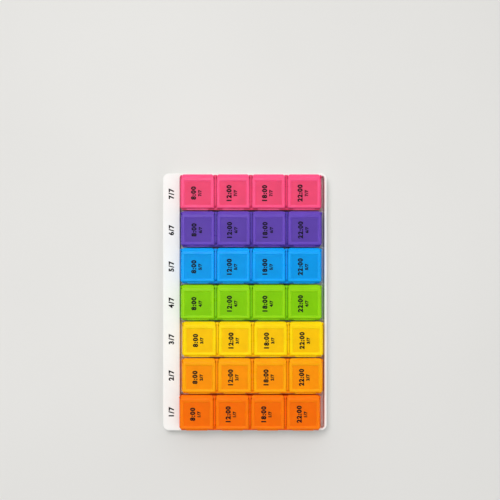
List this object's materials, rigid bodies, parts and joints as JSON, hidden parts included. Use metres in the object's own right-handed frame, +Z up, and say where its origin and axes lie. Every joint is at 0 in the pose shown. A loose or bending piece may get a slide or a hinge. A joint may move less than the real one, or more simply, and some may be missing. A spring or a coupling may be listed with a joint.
{
  "type": "weekly pill dispenser",
  "caption": "Flat white tray with a side ledge that holds lift-out coloured day boxes, each divided into pill compartments closed by snap-hinged flip lids with thumb tabs.",
  "frame": {"origin": "on the table, under the middle of the tray's outline", "axes": "+X along a box from its morning to its bedtime compartment, +Y along the tray from the Sunday box to the Saturday box, +Z up"},
  "size_m": [0.1362, 0.2138, 0.0239],
  "materials": {
    "tray_white": "satin white polypropylene",
    "plastic_orange_red": "glossy translucent polypropylene",
    "plastic_orange": "glossy translucent polypropylene",
    "plastic_yellow": "glossy translucent polypropylene",
    "plastic_green": "glossy translucent polypropylene",
    "plastic_blue": "glossy translucent polypropylene",
    "plastic_purple": "glossy translucent polypropylene",
    "plastic_pink": "glossy translucent polypropylene"
  },
  "bodies": {
    "tray": {"tray": "tray_white"},
    "box_sun": {"box_sun": "plastic_orange_red"},
    "lid_sun_morn": {"lid_sun_morn": "plastic_orange_red"},
    "lid_sun_noon": {"lid_sun_noon": "plastic_orange_red"},
    "lid_sun_eve": {"lid_sun_eve": "plastic_orange_red"},
    "lid_sun_bed": {"lid_sun_bed": "plastic_orange_red"},
    "box_mon": {"box_mon": "plastic_orange"},
    "lid_mon_morn": {"lid_mon_morn": "plastic_orange"},
    "lid_mon_noon": {"lid_mon_noon": "plastic_orange"},
    "lid_mon_eve": {"lid_mon_eve": "plastic_orange"},
    "lid_mon_bed": {"lid_mon_bed": "plastic_orange"},
    "box_tue": {"box_tue": "plastic_yellow"},
    "lid_tue_morn": {"lid_tue_morn": "plastic_yellow"},
    "lid_tue_noon": {"lid_tue_noon": "plastic_yellow"},
    "lid_tue_eve": {"lid_tue_eve": "plastic_yellow"},
    "lid_tue_bed": {"lid_tue_bed": "plastic_yellow"},
    "box_wed": {"box_wed": "plastic_green"},
    "lid_wed_morn": {"lid_wed_morn": "plastic_green"},
    "lid_wed_noon": {"lid_wed_noon": "plastic_green"},
    "lid_wed_eve": {"lid_wed_eve": "plastic_green"},
    "lid_wed_bed": {"lid_wed_bed": "plastic_green"},
    "box_thu": {"box_thu": "plastic_blue"},
    "lid_thu_morn": {"lid_thu_morn": "plastic_blue"},
    "lid_thu_noon": {"lid_thu_noon": "plastic_blue"},
    "lid_thu_eve": {"lid_thu_eve": "plastic_blue"},
    "lid_thu_bed": {"lid_thu_bed": "plastic_blue"},
    "box_fri": {"box_fri": "plastic_purple"},
    "lid_fri_morn": {"lid_fri_morn": "plastic_purple"},
    "lid_fri_noon": {"lid_fri_noon": "plastic_purple"},
    "lid_fri_eve": {"lid_fri_eve": "plastic_purple"},
    "lid_fri_bed": {"lid_fri_bed": "plastic_purple"},
    "box_sat": {"box_sat": "plastic_pink"},
    "lid_sat_morn": {"lid_sat_morn": "plastic_pink"},
    "lid_sat_noon": {"lid_sat_noon": "plastic_pink"},
    "lid_sat_eve": {"lid_sat_eve": "plastic_pink"},
    "lid_sat_bed": {"lid_sat_bed": "plastic_pink"}
  },
  "joints": [
    {"name": "sun_lift", "type": "slide", "parent": "tray", "child": "box_sun", "axis": [0, 0, 1], "range_m": [0, 0.03]},
    {"name": "mon_lift", "type": "slide", "parent": "tray", "child": "box_mon", "axis": [0, 0, 1], "range_m": [0, 0.03]},
    {"name": "tue_lift", "type": "slide", "parent": "tray", "child": "box_tue", "axis": [0, 0, 1], "range_m": [0, 0.03]},
    {"name": "wed_lift", "type": "slide", "parent": "tray", "child": "box_wed", "axis": [0, 0, 1], "range_m": [0, 0.03]},
    {"name": "thu_lift", "type": "slide", "parent": "tray", "child": "box_thu", "axis": [0, 0, 1], "range_m": [0, 0.03]},
    {"name": "fri_lift", "type": "slide", "parent": "tray", "child": "box_fri", "axis": [0, 0, 1], "range_m": [0, 0.03]},
    {"name": "sat_lift", "type": "slide", "parent": "tray", "child": "box_sat", "axis": [0, 0, 1], "range_m": [0, 0.03]},
    {"name": "sun_morn_hinge", "type": "hinge", "parent": "box_sun", "child": "lid_sun_morn", "pos_m": [-0.03945, -0.0781, 0.0211], "axis": [-1, 0, 0], "range_deg": [0, 100]},
    {"name": "sun_noon_hinge", "type": "hinge", "parent": "box_sun", "child": "lid_sun_noon", "pos_m": [-0.01035, -0.0781, 0.0211], "axis": [-1, 0, 0], "range_deg": [0, 100]},
    {"name": "sun_eve_hinge", "type": "hinge", "parent": "box_sun", "child": "lid_sun_eve", "pos_m": [0.01875, -0.0781, 0.0211], "axis": [-1, 0, 0], "range_deg": [0, 100]},
    {"name": "sun_bed_hinge", "type": "hinge", "parent": "box_sun", "child": "lid_sun_bed", "pos_m": [0.04785, -0.0781, 0.0211], "axis": [-1, 0, 0], "range_deg": [0, 100]},
    {"name": "mon_morn_hinge", "type": "hinge", "parent": "box_mon", "child": "lid_mon_morn", "pos_m": [-0.03755, -0.0479, 0.0211], "axis": [-1, 0, 0], "range_deg": [0, 100]},
    {"name": "mon_noon_hinge", "type": "hinge", "parent": "box_mon", "child": "lid_mon_noon", "pos_m": [-0.00845, -0.0479, 0.0211], "axis": [-1, 0, 0], "range_deg": [0, 100]},
    {"name": "mon_eve_hinge", "type": "hinge", "parent": "box_mon", "child": "lid_mon_eve", "pos_m": [0.02065, -0.0479, 0.0211], "axis": [-1, 0, 0], "range_deg": [0, 100]},
    {"name": "mon_bed_hinge", "type": "hinge", "parent": "box_mon", "child": "lid_mon_bed", "pos_m": [0.04975, -0.0479, 0.0211], "axis": [-1, 0, 0], "range_deg": [0, 100]},
    {"name": "tue_morn_hinge", "type": "hinge", "parent": "box_tue", "child": "lid_tue_morn", "pos_m": [-0.03715, -0.0177, 0.0211], "axis": [-1, 0, 0], "range_deg": [0, 100]},
    {"name": "tue_noon_hinge", "type": "hinge", "parent": "box_tue", "child": "lid_tue_noon", "pos_m": [-0.00805, -0.0177, 0.0211], "axis": [-1, 0, 0], "range_deg": [0, 100]},
    {"name": "tue_eve_hinge", "type": "hinge", "parent": "box_tue", "child": "lid_tue_eve", "pos_m": [0.02105, -0.0177, 0.0211], "axis": [-1, 0, 0], "range_deg": [0, 100]},
    {"name": "tue_bed_hinge", "type": "hinge", "parent": "box_tue", "child": "lid_tue_bed", "pos_m": [0.05015, -0.0177, 0.0211], "axis": [-1, 0, 0], "range_deg": [0, 100]},
    {"name": "wed_morn_hinge", "type": "hinge", "parent": "box_wed", "child": "lid_wed_morn", "pos_m": [-0.03845, 0.0125, 0.0211], "axis": [-1, 0, 0], "range_deg": [0, 100]},
    {"name": "wed_noon_hinge", "type": "hinge", "parent": "box_wed", "child": "lid_wed_noon", "pos_m": [-0.00935, 0.0125, 0.0211], "axis": [-1, 0, 0], "range_deg": [0, 100]},
    {"name": "wed_eve_hinge", "type": "hinge", "parent": "box_wed", "child": "lid_wed_eve", "pos_m": [0.01975, 0.0125, 0.0211], "axis": [-1, 0, 0], "range_deg": [0, 100]},
    {"name": "wed_bed_hinge", "type": "hinge", "parent": "box_wed", "child": "lid_wed_bed", "pos_m": [0.04885, 0.0125, 0.0211], "axis": [-1, 0, 0], "range_deg": [0, 100]},
    {"name": "thu_morn_hinge", "type": "hinge", "parent": "box_thu", "child": "lid_thu_morn", "pos_m": [-0.03855, 0.0427, 0.0211], "axis": [-1, 0, 0], "range_deg": [0, 100]},
    {"name": "thu_noon_hinge", "type": "hinge", "parent": "box_thu", "child": "lid_thu_noon", "pos_m": [-0.00945, 0.0427, 0.0211], "axis": [-1, 0, 0], "range_deg": [0, 100]},
    {"name": "thu_eve_hinge", "type": "hinge", "parent": "box_thu", "child": "lid_thu_eve", "pos_m": [0.01965, 0.0427, 0.0211], "axis": [-1, 0, 0], "range_deg": [0, 100]},
    {"name": "thu_bed_hinge", "type": "hinge", "parent": "box_thu", "child": "lid_thu_bed", "pos_m": [0.04875, 0.0427, 0.0211], "axis": [-1, 0, 0], "range_deg": [0, 100]},
    {"name": "fri_morn_hinge", "type": "hinge", "parent": "box_fri", "child": "lid_fri_morn", "pos_m": [-0.03835, 0.0729, 0.0211], "axis": [-1, 0, 0], "range_deg": [0, 100]},
    {"name": "fri_noon_hinge", "type": "hinge", "parent": "box_fri", "child": "lid_fri_noon", "pos_m": [-0.00925, 0.0729, 0.0211], "axis": [-1, 0, 0], "range_deg": [0, 100]},
    {"name": "fri_eve_hinge", "type": "hinge", "parent": "box_fri", "child": "lid_fri_eve", "pos_m": [0.01985, 0.0729, 0.0211], "axis": [-1, 0, 0], "range_deg": [0, 100]},
    {"name": "fri_bed_hinge", "type": "hinge", "parent": "box_fri", "child": "lid_fri_bed", "pos_m": [0.04895, 0.0729, 0.0211], "axis": [-1, 0, 0], "range_deg": [0, 100]},
    {"name": "sat_morn_hinge", "type": "hinge", "parent": "box_sat", "child": "lid_sat_morn", "pos_m": [-0.03875, 0.1031, 0.0211], "axis": [-1, 0, 0], "range_deg": [0, 100]},
    {"name": "sat_noon_hinge", "type": "hinge", "parent": "box_sat", "child": "lid_sat_noon", "pos_m": [-0.00965, 0.1031, 0.0211], "axis": [-1, 0, 0], "range_deg": [0, 100]},
    {"name": "sat_eve_hinge", "type": "hinge", "parent": "box_sat", "child": "lid_sat_eve", "pos_m": [0.01945, 0.1031, 0.0211], "axis": [-1, 0, 0], "range_deg": [0, 100]},
    {"name": "sat_bed_hinge", "type": "hinge", "parent": "box_sat", "child": "lid_sat_bed", "pos_m": [0.04855, 0.1031, 0.0211], "axis": [-1, 0, 0], "range_deg": [0, 100]}
  ]
}
